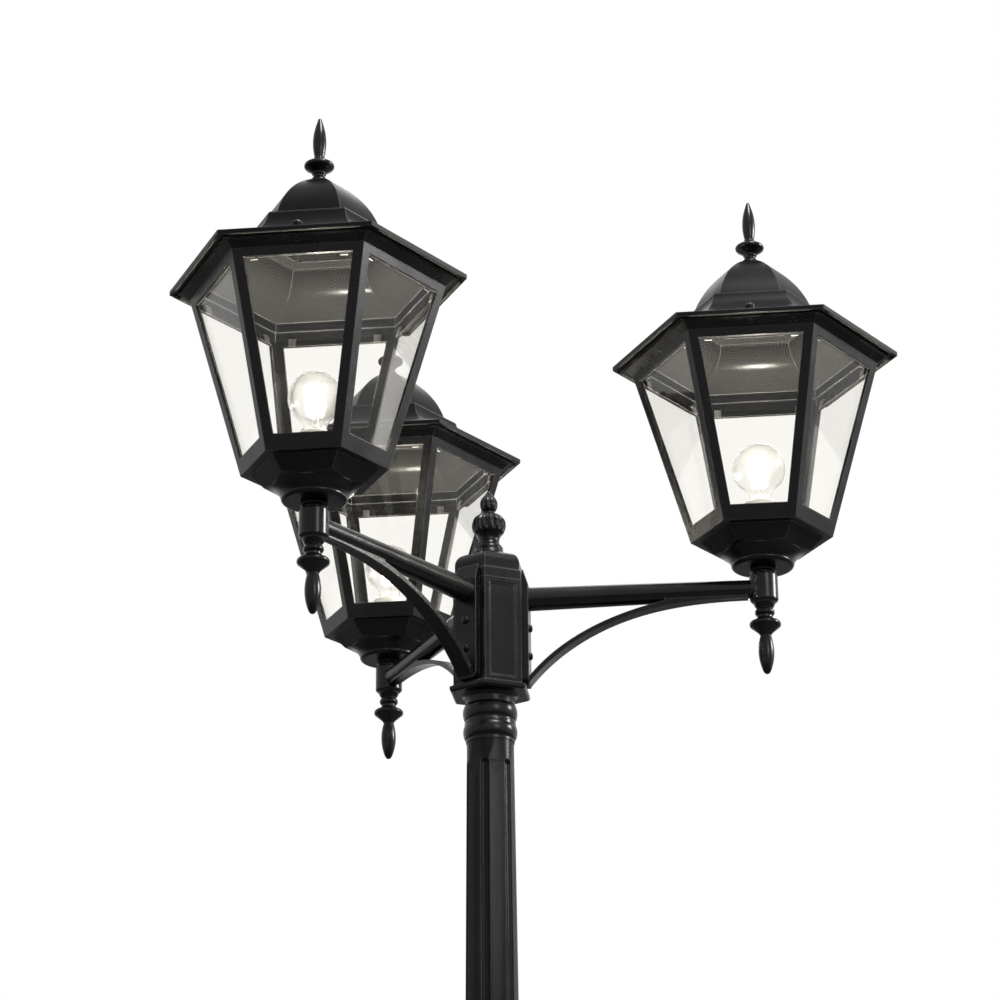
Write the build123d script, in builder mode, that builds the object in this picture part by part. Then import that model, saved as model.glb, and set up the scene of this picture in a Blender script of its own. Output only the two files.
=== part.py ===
"""Triple head lamp post: three hexagonal lanterns on arms round one fluted post.

Millimetres, +Z up. The origin is the centre of the base plate's underside, on the
post's axis. Each lantern has a corner of its hexagon along its arm; the first arm
points along +X. Heights named *_Z below are above the arms' axis, except those of the
base, which are above the ground.
"""

from build123d import *
import os
from math import atan, cos, degrees, radians

os.makedirs("parts", exist_ok=True)

# ---------------------------------------------------------------- driving sizes
ARM_LEVEL = 2060.0          # arms' axis above the ground
ARM_REACH = 310.0           # post axis to lantern axis
HEAD_ANGLES = (0, 120, 240)  # arms, seen from above
HEX = 6                     # sides of lanterns, hub and base
FLAT = cos(radians(180 / HEX))  # across-flats over across-corners
FACE_TURNS = (30, 90, 150)  # the lanterns' three pairs of opposite faces
HUB_TURNS = (0, 60, 120)    # the hub's and the base's

CLEAR = 0.1                 # radial clearance of a fixed fit
REST_GAP = 0.3              # gap under a piece that lifts off

# lantern cage
CAGE_FOOT_Z = 58.0
CAGE_FOOT_R = 80.0
CAGE_HEAD_Z = 268.0
CAGE_HEAD_R = 141.0
CAGE_WALL_R = 4.7           # wall, measured on the corner radius
RIB_STRIP = 11.0            # rib width on each face
SILL_H = 17.0
LINTEL_H = 9.0
CAGE_FLOOR_T = 3.5
CAGE_FLOOR_R = 62.0         # opening in the cage's floor
CORNICE_COVE_H = 7.7
CORNICE_COVE_R = 9.0
CORNICE_LIP_H = 2.0
CORNICE_LIP_R = 3.5

PANE_T = 3.0
PANE_LAP = 6.0              # glass hidden behind each rib and rail
CLIP_T = 1.2
CLIP_W = 8.0
CLIP_LIP_H = 7.0            # clip's lip over the glass
CLIP_INSET = 22.0           # clip's middle from the cage's corner, along a face

# cup under the cage
CUP_TOP_R = 69.5
CUP_KNEE_Z = 41.0
CUP_KNEE_R = 52.0
CUP_COLLAR_R = 35.5
CUP_COLLAR_Z = 28.5
CUP_BASE_Z = 24.0
CUP_BASE_R = 31.0
CUP_WALL = 4.5
CUP_WELL_R = 28.0

# stem, neck, socket and drop finial
STEM_R = 5.0
STEM_BORE_R = 3.5
STEM_NUT_R = 10.0
STEM_NUT_H = 6.0
STEM_REACH = 6.0            # stem's end inside the lampholder
NECK_R = 14.8
NECK_LOW_R = 12.5
SOCKET_R = 16.0
SOCKET_H = 32.0
SOCKET_EDGE = 2.0
SOCKET_WIRE_R = 5.0         # way for the wires from the arm
SPIGOT_R = 9.0
SPIGOT_L = 8.0
DROP_STUD_R = 5.0
DROP_STUD_L = 7.0
DROP_L = 84.5               # socket's underside to the finial's tip

# lampholder and bulb
HOLDER_R = 19.0
HOLDER_Z = 60.0
HOLDER_H = 42.5
HOLDER_WELL = 29.0
HOLDER_ROUND = 2.5
CAP_R = 13.2
CAP_H = 26.0
CAP_THREAD = 0.7
CAP_PITCH = 3.6
CAP_TURNS = 5
BULB_R = 30.0
BULB_H = 74.0               # glass alone
BULB_NECK_R = 12.6
BULB_WALL = 1.0

# roof
BRIM_OVERHANG = 9.1         # brim beyond the cage's cornice
BRIM_EDGE = 5.0
BRIM_RECESS = 2.0
BRIM_LIP = 3.0
BRIM_W = 39.8               # brim edge to flank foot, across
FLANK_RISE = 18.0           # brim edge to flank foot, up
TIER_W = 29.9               # flank foot to tier edge, across
TIER_RISE = 34.0            # flank foot to tier edge, up
DOME_SETBACK = 12.1         # tier edge to dome, across
DOME_STEP = 5.0
DOME_RISE = 65.0
DOME_TOP_AP = 11.0
ROOF_WALL = 3.0             # wall, measured across and down
MOUTH_STEP = 1.0            # roof's opening inside the cage's
SCREW_R = 2.0
SCREW_HEAD_R = 5.0
SCREW_HEAD_H = 2.6
SCREW_GRIP = 6.0            # depth in the cage
SCREW_BOSS_R = 5.8
SCREW_BOSS_RISE = 0.6       # boss above the brim at its inner edge
TIP_STUD_R = 4.0
TIP_STUD_L = 13.0
TIP_NUT_R = 7.5
TIP_NUT_H = 5.0
TIP_L = 80.0                # roof finial

# hub
HUB_AP = 38.5
HUB_TOP_Z = 16.0
HUB_FOOT_Z = -105.0
HUB_BASE_Z = -118.0
HUB_FOOT_AP = 42.5
HUB_WALL = 6.0
HUB_NECK_R = 27.6
FOOT_FLARE_H = 2.0
FOOT_NECK_H = 5.0
HEX_HALF_TURN = 30
PANEL_W = 33.0
PANEL_MARGIN = 5.0
PANEL_STEP = 2.0
PANEL_DEPTH = 1.2
HUBCAP_AP = 38.0
HUBCAP_H = 36.0
HUBCAP_BAND_H = 11.0
HUBCAP_STEP = 1.4
HUBCAP_ROUND = 16.0
HUBCAP_WALL = 5.0
CROWN_L = 81.5              # hub finial
CROWN_STUD_R = 5.0
CROWN_STUD_L = 12.0
WIRE_R = 7.5

# arms
PLATE_T = 7.0
PLATE_W = 29.0
PLATE_TOP_Z = 31.0
PLATE_BEVEL_Z = 14.0
PLATE_LOW_Z = -103.0
PLATE_CORNER = 6.0
BOLT_LEVELS = (-35.0, -68.0)
BOLT_R = 3.0
BOLT_HEAD_R = 4.5
BOLT_HEAD_H = 3.4
TUBE_ROOT_R = 13.6
TUBE_TIP_R = 10.5
TUBE_WALL = 2.6
BRACE_ROOT_W = 20.0
BRACE_TIP_W = 13.0
BRACE_TIP_GAP = 2.0

# post
SHAFT_TOP_Z = -168.0
SHAFT_TOP_R = 26.3
SHAFT_TAPER = 0.0085        # growth of the radius per millimetre of fall
TENON_R = 22.0
TENON_TOP_Z = -60.0
TENON_WALL = 5.0
FLUTES = 6
FLUTE_TURN = 23.0
FLUTE_CUT_R = 6.0
FLUTE_OUT = 2.9             # cutter's axis outside the shaft's surface
FLUTE_TOP_DROP = 22.0
FLUTE_LOW_RISE = 34.0
COLLAR_RING_R = 30.5

# base, heights above the ground
PLATE_AP = 140.0
PLATE_H = 16.0
PLATE_EDGE = 3.0
ANCHOR_PCD = 246.0
ANCHOR_HOLE_R = 7.0
ANCHORS = 3
ROOT_R = 28.0               # upright tube of the base plate
ROOT_BORE_R = 24.0
ROOT_TOP = 560.0
PEDESTAL_TOP = 312.0
PEDESTAL_FOOT_AP = 106.0
PEDESTAL_LOW_AP = 90.0
PEDESTAL_HIGH_AP = 76.0
PEDESTAL_CAP_AP = 86.0
PEDESTAL_WALL = 6.0
PEDESTAL_PANEL = 3.0        # depth of the panels
PEDESTAL_PANEL_W = 61.0
BELL_TOP = 430.0
BELL_FOOT_R = 72.0
BELL_FOOT_H = 8.0
BELL_CUP_H = 52.0
BELL_CUP_SAG = 12.0
BELL_WAIST_R = 45.0
BELL_RING_R = 51.0
BELL_RING_H = 20.0
BELL_NECK_R = 43.5
BELL_NECK_H = 22.0
BELL_RIM = 1.5              # bell's rim beyond the shaft

# ---------------------------------------------------------------- worked-out sizes
SOCKET_TOP_Z = SOCKET_H / 2
GLASS_LOW_Z = CAGE_FOOT_Z + SILL_H
GLASS_HIGH_Z = CAGE_HEAD_Z - LINTEL_H
PANE_HIGH_Z = GLASS_HIGH_Z + PANE_LAP
CORNICE_Z = CAGE_HEAD_Z + CORNICE_COVE_H + CORNICE_LIP_H
CORNICE_AP = (CAGE_HEAD_R + CORNICE_COVE_R + CORNICE_LIP_R) * FLAT
MOUTH_AP = (CAGE_HEAD_R - CAGE_WALL_R) * FLAT
SCREW_AP = (CORNICE_AP + MOUTH_AP) / 2
ROOF_MOUTH_AP = MOUTH_AP - MOUTH_STEP
BRIM_AP = CORNICE_AP + BRIM_OVERHANG
FLANK_AP = BRIM_AP - BRIM_W
TIER_AP = FLANK_AP - TIER_W
DOME_AP = TIER_AP - DOME_SETBACK
ROOF_SEAT_Z = CORNICE_Z + REST_GAP
BRIM_Z = ROOF_SEAT_Z - BRIM_RECESS
BRIM_TOP_Z = BRIM_Z + BRIM_EDGE
FLANK_Z = BRIM_TOP_Z + FLANK_RISE
TIER_Z = FLANK_Z + TIER_RISE
DOME_Z = TIER_Z + DOME_STEP
ROOF_TOP_Z = DOME_Z + DOME_RISE
BRIM_SLOPE = FLANK_RISE / (BRIM_AP - FLANK_AP)
SCREW_SEAT_Z = BRIM_TOP_Z + BRIM_SLOPE * (BRIM_AP - SCREW_AP + SCREW_BOSS_R) + SCREW_BOSS_RISE
HOLDER_TOP_Z = HOLDER_Z + HOLDER_H
WELL_FLOOR_Z = HOLDER_TOP_Z - HOLDER_WELL
CAP_Z = WELL_FLOOR_Z + REST_GAP
GLASS_Z = CAP_Z + CAP_H
BULB_CENTRE_Z = GLASS_Z + BULB_H - BULB_R
PLATE_FACE = HUB_AP + PLATE_T
TUBE_TIP_X = ARM_REACH - SOCKET_R
HUB_INNER_AP = HUB_AP - HUB_WALL
SHAFT_TOP = ARM_LEVEL + SHAFT_TOP_Z
SHAFT_FOOT_R = SHAFT_TOP_R + (SHAFT_TOP - BELL_TOP) * SHAFT_TAPER
HUBCAP_TOP_Z = HUB_TOP_Z + HUBCAP_H
STANDING = (Align.CENTER, Align.CENTER, Align.MIN)


# ---------------------------------------------------------------- shared shapes
def cage_radius(z):
    """Corner radius of the cage's outside at height z."""
    share = (z - CAGE_FOOT_Z) / (CAGE_HEAD_Z - CAGE_FOOT_Z)
    return CAGE_FOOT_R + share * (CAGE_HEAD_R - CAGE_FOOT_R)


def hexagon(z, radius):
    """Hexagon of the given corner radius, lying at height z."""
    with BuildSketch(Plane.XY.offset(z)) as outline:
        RegularPolygon(radius, HEX)
    return outline.sketch


def cage_layer(low, high, inset):
    """Solid hexagonal pyramid slice that follows the cage, inset on the radius."""
    with BuildPart() as layer:
        loft([hexagon(z, cage_radius(z) - inset) for z in (low, high)])
    return layer.part


def face_bars(low, high, inset):
    """Three bars through opposite faces, each inset from the cage's corners."""
    with BuildPart() as bar:
        for z in (low, high):
            with BuildSketch(Plane.XY.offset(z)):
                Rectangle(4 * CAGE_HEAD_R, cage_radius(z) - 2 * inset)
        loft()
    with BuildPart() as bars:
        with PolarLocations(0, 3, start_angle=FACE_TURNS[0], angular_range=180):
            add(bar.part)
    return bars.part


def hexagonal(section, reach, turns=FACE_TURNS):
    """Six-sided solid whose faces all follow one section, drawn outwards and up."""
    with BuildPart() as prism:
        with BuildSketch(Plane.XZ):
            add(section)
        extrude(amount=reach, both=True)
    with BuildPart() as solid:
        with Locations(Location((0, 0, 0), (0, 0, turns[0]))):
            add(prism.part)
        for turn in turns[1:]:
            with Locations(Location((0, 0, 0), (0, 0, turn))):
                add(prism.part, mode=Mode.INTERSECT)
    return solid.part


def write(name, part, place=Location()):
    """Places a finished piece and writes it."""
    with BuildPart() as piece:
        with Locations(place):
            add(part)
    piece.part.label = name
    export_step(piece.part, f"parts/{name}.step")


# ---------------------------------------------------------------- lantern cage
def make_cage():
    """Cast cage: six ribs, sill, lintel, floor ring and cornice."""
    with BuildPart() as cage:
        add(cage_layer(CAGE_FOOT_Z, CAGE_HEAD_Z, 0))
        lip_z = CORNICE_Z - CORNICE_LIP_H
        loft([hexagon(CAGE_HEAD_Z, CAGE_HEAD_R), hexagon(lip_z, CAGE_HEAD_R + CORNICE_COVE_R)])
        with BuildSketch(Plane.XY.offset(lip_z)):
            RegularPolygon(CAGE_HEAD_R + CORNICE_COVE_R + CORNICE_LIP_R, HEX)
        extrude(amount=CORNICE_LIP_H)
        add(cage_layer(CAGE_FOOT_Z + CAGE_FLOOR_T, CAGE_HEAD_Z, CAGE_WALL_R), mode=Mode.SUBTRACT)
        with BuildSketch(Plane.XY.offset(CAGE_HEAD_Z)):
            RegularPolygon(CAGE_HEAD_R - CAGE_WALL_R, HEX)
        extrude(amount=CORNICE_COVE_H + CORNICE_LIP_H, mode=Mode.SUBTRACT)
        with BuildSketch(Plane.XY.offset(CAGE_FOOT_Z)):
            RegularPolygon(CAGE_FLOOR_R, HEX)
        extrude(amount=CAGE_FLOOR_T, mode=Mode.SUBTRACT)
        add(face_bars(GLASS_LOW_Z, GLASS_HIGH_Z, RIB_STRIP), mode=Mode.SUBTRACT)
        with PolarLocations(SCREW_AP, 3, start_angle=FACE_TURNS[0]):
            with Locations((0, 0, CORNICE_Z)):
                Cylinder(SCREW_R + REST_GAP, 2 * (SCREW_GRIP + REST_GAP), mode=Mode.SUBTRACT)
    return cage.part


def make_panes():
    """Six panes of flat glass behind the cage's openings, standing on its floor."""
    low = CAGE_FOOT_Z + CAGE_FLOOR_T
    with BuildPart() as panes:
        add(cage_layer(low, PANE_HIGH_Z, CAGE_WALL_R))
        add(cage_layer(low, PANE_HIGH_Z, CAGE_WALL_R + PANE_T / FLAT), mode=Mode.SUBTRACT)
        add(face_bars(low, PANE_HIGH_Z, RIB_STRIP - PANE_LAP), mode=Mode.INTERSECT)
    return panes.part


def make_clips():
    """Bent clips of one lantern: two on each face, over the upper edge of the glass."""
    low = PANE_HIGH_Z - CLIP_LIP_H
    foot = PANE_HIGH_Z + REST_GAP
    back = CAGE_WALL_R + PANE_T / FLAT
    offset = cage_radius(PANE_HIGH_Z) / 2 - CLIP_INSET
    with BuildPart() as tabs:
        with PolarLocations(0, 3, start_angle=FACE_TURNS[0], angular_range=180):
            with Locations((0, offset, low), (0, -offset, low)):
                Box(4 * CAGE_HEAD_R, CLIP_W, 4 * CLIP_LIP_H)
    with BuildPart() as clips:
        add(cage_layer(low, CAGE_HEAD_Z, back))
        add(cage_layer(foot, CAGE_HEAD_Z, CAGE_WALL_R))
        add(cage_layer(low, CAGE_HEAD_Z, back + CLIP_T / FLAT), mode=Mode.SUBTRACT)
        add(tabs.part, mode=Mode.INTERSECT)
    return clips.part


# ---------------------------------------------------------------- cup and neck
def make_cup():
    """Cast cup: hexagonal above, drawn in by a round cove to a collar."""
    with BuildPart() as cup:
        loft([hexagon(CUP_KNEE_Z, CUP_KNEE_R), hexagon(CAGE_FOOT_Z, CUP_TOP_R)])
        with BuildSketch(Plane.XY.offset(CUP_BASE_Z)):
            RegularPolygon(CUP_KNEE_R, HEX)
        extrude(amount=CUP_KNEE_Z - CUP_BASE_Z)
        with BuildSketch(Plane.XZ):
            with BuildLine():
                foot = Polyline((0, CUP_BASE_Z), (CUP_BASE_R, CUP_BASE_Z))
                rim = Line((CUP_COLLAR_R, CUP_COLLAR_Z - 1), (CUP_COLLAR_R, CUP_COLLAR_Z))
                SagittaArc(foot @ 1, rim @ 0, -1.2)
                cove = ThreePointArc(rim @ 1, (41.0, 37.5), (54.5, 43.3))
                Polyline(cove @ 1, (80, 46), (80, CAGE_FOOT_Z), (0, CAGE_FOOT_Z), foot @ 0)
            make_face()
        revolve(axis=Axis.Z, mode=Mode.INTERSECT)
        well_z = CUP_KNEE_Z + CUP_WALL
        loft(
            [hexagon(well_z, CUP_KNEE_R - CUP_WALL), hexagon(CAGE_FOOT_Z, CUP_TOP_R - CUP_WALL)],
            mode=Mode.SUBTRACT,
        )
        with BuildSketch(Plane.XY.offset(CUP_BASE_Z + CUP_WALL)):
            Circle(CUP_WELL_R)
        extrude(amount=well_z - CUP_BASE_Z - CUP_WALL, mode=Mode.SUBTRACT)
        with Locations((0, 0, CUP_BASE_Z)):
            Cylinder(STEM_R + CLEAR, 4 * CUP_WALL, mode=Mode.SUBTRACT)
    return cup.part


def make_neck():
    """Turned neck between the cup and the arm's socket."""
    with BuildPart() as neck:
        with BuildSketch(Plane.XZ):
            with BuildLine():
                Polyline(
                    (STEM_R + CLEAR, CUP_BASE_Z),
                    (SPIGOT_R + 3.2, CUP_BASE_Z),
                    (SPIGOT_R + 3.2, CUP_BASE_Z - 0.8),
                    (NECK_R - 0.8, CUP_BASE_Z - 0.8),
                    (NECK_R, CUP_BASE_Z - 1.6),
                    (NECK_R, CUP_BASE_Z - 3.6),
                    (NECK_R - 1.2, CUP_BASE_Z - 4.4),
                    (SPIGOT_R + 1.4, CUP_BASE_Z - 4.8),
                    (SPIGOT_R + 1.4, CUP_BASE_Z - 5.6),
                    (NECK_LOW_R, CUP_BASE_Z - 6.2),
                    (NECK_LOW_R, SOCKET_TOP_Z),
                    (SPIGOT_R, SOCKET_TOP_Z),
                    (SPIGOT_R, SOCKET_TOP_Z - SPIGOT_L),
                    (STEM_R + CLEAR, SOCKET_TOP_Z - SPIGOT_L),
                    close=True,
                )
            make_face()
        revolve(axis=Axis.Z)
    return neck.part


def make_stem():
    """Threaded tube that carries the lampholder, with its hexagonal collar."""
    with BuildPart() as stem:
        with Locations((0, 0, SOCKET_TOP_Z)):
            Cylinder(STEM_R, HOLDER_Z + STEM_REACH - SOCKET_TOP_Z, align=STANDING)
        with BuildSketch(Plane.XY.offset(CUP_BASE_Z + CUP_WALL)):
            RegularPolygon(STEM_NUT_R, HEX)
        extrude(amount=STEM_NUT_H)
        with BuildSketch(Plane.XY.offset(HOLDER_Z)):
            RegularPolygon(STEM_NUT_R, HEX)
        extrude(amount=-STEM_NUT_H)
        with Locations((0, 0, SOCKET_TOP_Z)):
            Cylinder(STEM_BORE_R, 4 * HOLDER_Z, mode=Mode.SUBTRACT)
    return stem.part


def make_socket():
    """Round boss at the arm's end that carries the lantern and the drop finial."""
    with BuildPart() as socket:
        Cylinder(SOCKET_R, SOCKET_H)
        chamfer(socket.edges().filter_by(GeomType.CIRCLE), SOCKET_EDGE)
        with Locations((0, 0, SOCKET_TOP_Z)):
            Cylinder(SPIGOT_R + CLEAR, 2 * (SPIGOT_L + CLEAR), mode=Mode.SUBTRACT)
        with Locations((0, 0, -SOCKET_TOP_Z)):
            Cylinder(DROP_STUD_R + CLEAR, 2 * (DROP_STUD_L + CLEAR), mode=Mode.SUBTRACT)
        Cylinder(STEM_BORE_R, SOCKET_H, mode=Mode.SUBTRACT)
        with BuildSketch(Plane.YZ.offset(-SOCKET_R)):
            Circle(SOCKET_WIRE_R)
        extrude(amount=SOCKET_R, mode=Mode.SUBTRACT)
    return socket.part


def make_drop():
    """Turned finial that hangs under the socket."""
    top = -SOCKET_TOP_Z
    tip = top - DROP_L
    with BuildPart() as drop:
        with BuildSketch(Plane.XZ):
            with BuildLine():
                stud = Polyline(
                    (0, top + DROP_STUD_L), (DROP_STUD_R, top + DROP_STUD_L), (DROP_STUD_R, top), (12.6, top)
                )
                cone = ThreePointArc(stud @ 1, (11.2, top - 4.5), (8.6, top - 8.3))
                bead = ThreePointArc(cone @ 1, (11.1, top - 12.6), (8.8, top - 16.6))
                neck = Line(bead @ 1, (8.8, top - 18.6))
                shelf = ThreePointArc(neck @ 1, (11.2, top - 21), (15.4, top - 23))
                edge = ThreePointArc(shelf @ 1, (17.7, top - 26.8), (15.4, top - 30.2))
                under = Line(edge @ 1, (8.2, top - 36.4))
                waist = ThreePointArc(under @ 1, (7.0, top - 38.2), (6.0, top - 39.6))
                belly = ThreePointArc(waist @ 1, (8.8, top - 58.5), (6.0, top - 76.5))
                Spline(belly @ 1, (3.4, top - 82.6), (0, tip), tangents=[belly % 1, (-1, 0)])
                Line((0, tip), stud @ 0)
            make_face()
        revolve(axis=Axis.Z)
    return drop.part


# ---------------------------------------------------------------- lampholder, bulb
def make_holder():
    """Porcelain lampholder with a screw well."""
    with BuildPart() as holder:
        with Locations((0, 0, HOLDER_Z)):
            Cylinder(HOLDER_R, HOLDER_H, align=STANDING)
        fillet(holder.edges().filter_by(GeomType.CIRCLE), HOLDER_ROUND)
        with Locations((0, 0, HOLDER_TOP_Z)):
            Cylinder(CAP_R + 2 * REST_GAP, 2 * HOLDER_WELL, mode=Mode.SUBTRACT)
        with Locations((0, 0, HOLDER_Z)):
            Cylinder(STEM_R + CLEAR, 2 * (STEM_REACH + CLEAR), mode=Mode.SUBTRACT)
            Cylinder(STEM_BORE_R, 4 * (WELL_FLOOR_Z - HOLDER_Z), mode=Mode.SUBTRACT)
    return holder.part


def make_bulb_cap():
    """Screw cap of the bulb, with its contact."""
    with BuildPart() as cap:
        with BuildSketch(Plane.XZ):
            with BuildLine():
                base = Polyline((0, CAP_Z), (4.5, CAP_Z), (5.5, CAP_Z + 1), (CAP_R - CAP_THREAD, CAP_Z + 4.5))
                at = base @ 1
                for turn in range(CAP_TURNS):
                    ridge = ThreePointArc(
                        at, (CAP_R, at.Y + CAP_PITCH / 2), (CAP_R - CAP_THREAD, at.Y + CAP_PITCH)
                    )
                    at = ridge @ 1
                Polyline(at, (CAP_R - CAP_THREAD, GLASS_Z), (0, GLASS_Z), (0, CAP_Z))
            make_face()
        revolve(axis=Axis.Z)
    return cap.part


def make_bulb_glass():
    """Pear-shaped glass envelope, open at the neck where the cap closes it."""
    with BuildPart() as glass:
        with BuildSketch(Plane.XZ):
            for inset in (0, BULB_WALL):
                with BuildLine():
                    radius = BULB_R - inset
                    top = (0, BULB_CENTRE_Z + radius)
                    side = (radius * 0.91, BULB_CENTRE_Z - radius * 0.4146)
                    crown = ThreePointArc(top, (radius, BULB_CENTRE_Z), side)
                    neck = Spline(
                        crown @ 1,
                        (BULB_NECK_R - inset, GLASS_Z + 8),
                        tangents=[crown % 1, (0, -1)],
                    )
                    Polyline(neck @ 1, (BULB_NECK_R - inset, GLASS_Z), (0, GLASS_Z), top)
                make_face(mode=Mode.SUBTRACT if inset else Mode.ADD)
        revolve(axis=Axis.Z)
    return glass.part


# ---------------------------------------------------------------- roof
def brim_slope_z(apothem):
    """Height of the brim's sloping top at an apothem."""
    return BRIM_TOP_Z + BRIM_SLOPE * (BRIM_AP - apothem)


def roof_section(foot, inset):
    """Section of the roof across opposite faces above its foot's points.

    With an inset it is the section of the space inside.
    """
    flank = (FLANK_AP - inset, FLANK_Z - inset)
    tier = (TIER_AP - inset, TIER_Z - inset)
    waist = (flank[0] - 0.69 * (flank[0] - tier[0]), flank[1] + 0.39 * TIER_RISE)
    shoulder = (tier[0] - 1.4, tier[1] + 2)
    dome = (DOME_AP - inset, DOME_Z - inset)
    crown = (DOME_TOP_AP - inset, ROOF_TOP_Z - inset)
    swell = (crown[0] + 0.62 * (dome[0] - crown[0]), dome[1] + 0.6 * DOME_RISE)
    with BuildSketch() as section:
        with BuildLine():
            Polyline((0, foot[0][1]), *foot, flank)
            ThreePointArc(flank, waist, tier)
            Polyline(tier, shoulder, dome)
            ThreePointArc(dome, swell, crown)
            Line(crown, (0, crown[1]))
            mirror(about=Plane.YZ)
        make_face()
    return section.sketch


def make_roof():
    """Cast roof: brim, concave tier and six-sided dome, hollow inside."""
    outside = roof_section([(BRIM_AP, BRIM_Z), (BRIM_AP, BRIM_TOP_Z)], 0)
    mouth_z = brim_slope_z(ROOF_MOUTH_AP) - ROOF_WALL
    inside = roof_section([(ROOF_MOUTH_AP, BRIM_Z - BRIM_EDGE), (ROOF_MOUTH_AP, mouth_z)], ROOF_WALL)
    with BuildPart() as roof:
        add(hexagonal(outside, 2 * BRIM_AP))
        with BuildSketch(Plane.XY.offset(BRIM_Z)):
            RegularPolygon(BRIM_AP - BRIM_LIP, HEX, major_radius=False)
        extrude(amount=BRIM_RECESS, mode=Mode.SUBTRACT)
        with PolarLocations(SCREW_AP, 3, start_angle=FACE_TURNS[0]):
            with Locations((0, 0, BRIM_TOP_Z)):
                Cylinder(SCREW_BOSS_R, SCREW_SEAT_Z - BRIM_TOP_Z, align=STANDING)
                Cylinder(SCREW_R + CLEAR, 4 * BRIM_EDGE + FLANK_RISE, mode=Mode.SUBTRACT)
        add(hexagonal(inside, 2 * BRIM_AP), mode=Mode.SUBTRACT)
        with Locations((0, 0, ROOF_TOP_Z)):
            Cylinder(TIP_STUD_R + CLEAR, 4 * ROOF_WALL, mode=Mode.SUBTRACT)
    return roof.part


def make_tip():
    """Turned finial on the roof, with its stud."""
    base = ROOF_TOP_Z
    with BuildPart() as tip:
        with BuildSketch(Plane.XZ):
            with BuildLine():
                stud = Polyline(
                    (0, base - TIP_STUD_L), (TIP_STUD_R, base - TIP_STUD_L), (TIP_STUD_R, base), (9.4, base)
                )
                foot = ThreePointArc(stud @ 1, (9.6, base + 2.6), (7.6, base + 4.6))
                groove = ThreePointArc(foot @ 1, (6.5, base + 7), (7.3, base + 9.4))
                ring = ThreePointArc(groove @ 1, (7.9, base + 10.6), (7.0, base + 12))
                shelf = ThreePointArc(ring @ 1, (10.5, base + 14.2), (15.2, base + 17.4))
                edge = ThreePointArc(shelf @ 1, (16.7, base + 20.6), (14.4, base + 23.6))
                cone = ThreePointArc(edge @ 1, (10.5, base + 26.2), (6.9, base + 28))
                bead = ThreePointArc(cone @ 1, (6.9, base + 29.6), (5.2, base + 31))
                belly = ThreePointArc(bead @ 1, (7.5, base + 49), (4.3, base + 71))
                Spline(belly @ 1, (2.3, base + 77.6), (0, base + TIP_L), tangents=[belly % 1, (-1, 0)])
                Line((0, base + TIP_L), stud @ 0)
            make_face()
        revolve(axis=Axis.Z)
    return tip.part


def make_roof_fasteners():
    """Three dome-head screws of the roof and the nut on the finial's stud."""
    with BuildPart() as screw:
        with BuildSketch(Plane.XZ):
            with BuildLine():
                low = CORNICE_Z - SCREW_GRIP
                edge = Polyline(
                    (0, low), (SCREW_R, low), (SCREW_R, SCREW_SEAT_Z), (SCREW_HEAD_R, SCREW_SEAT_Z)
                )
                top = (0, SCREW_SEAT_Z + SCREW_HEAD_H)
                Spline(edge @ 1, top, tangents=[(0, 1), (-1, 0)])
                Line(top, (0, low))
            make_face()
        revolve(axis=Axis.Z)
    with BuildPart() as fasteners:
        with PolarLocations(SCREW_AP, 3, start_angle=FACE_TURNS[0]):
            add(screw.part)
        with BuildSketch(Plane.XY.offset(ROOF_TOP_Z - ROOF_WALL)):
            RegularPolygon(TIP_NUT_R, HEX)
            Circle(TIP_STUD_R + CLEAR, mode=Mode.SUBTRACT)
        extrude(amount=-TIP_NUT_H)
    return fasteners.part


# ---------------------------------------------------------------- hub
def hub_foot_section():
    """Section of the hub's flared foot."""
    shelf = HUB_FOOT_Z - FOOT_FLARE_H
    low = HUB_BASE_Z + FOOT_NECK_H
    with BuildSketch() as section:
        with BuildLine():
            Polyline((0, HUB_FOOT_Z), (HUB_AP, HUB_FOOT_Z), (HUB_FOOT_AP, shelf), (HUB_FOOT_AP, shelf - 3.5))
            SagittaArc((HUB_FOOT_AP, shelf - 3.5), (HUB_FOOT_AP - 6, low), 1.4)
            Line((HUB_FOOT_AP - 6, low), (0, low))
            mirror(about=Plane.YZ)
        make_face()
    return section.sketch


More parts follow.
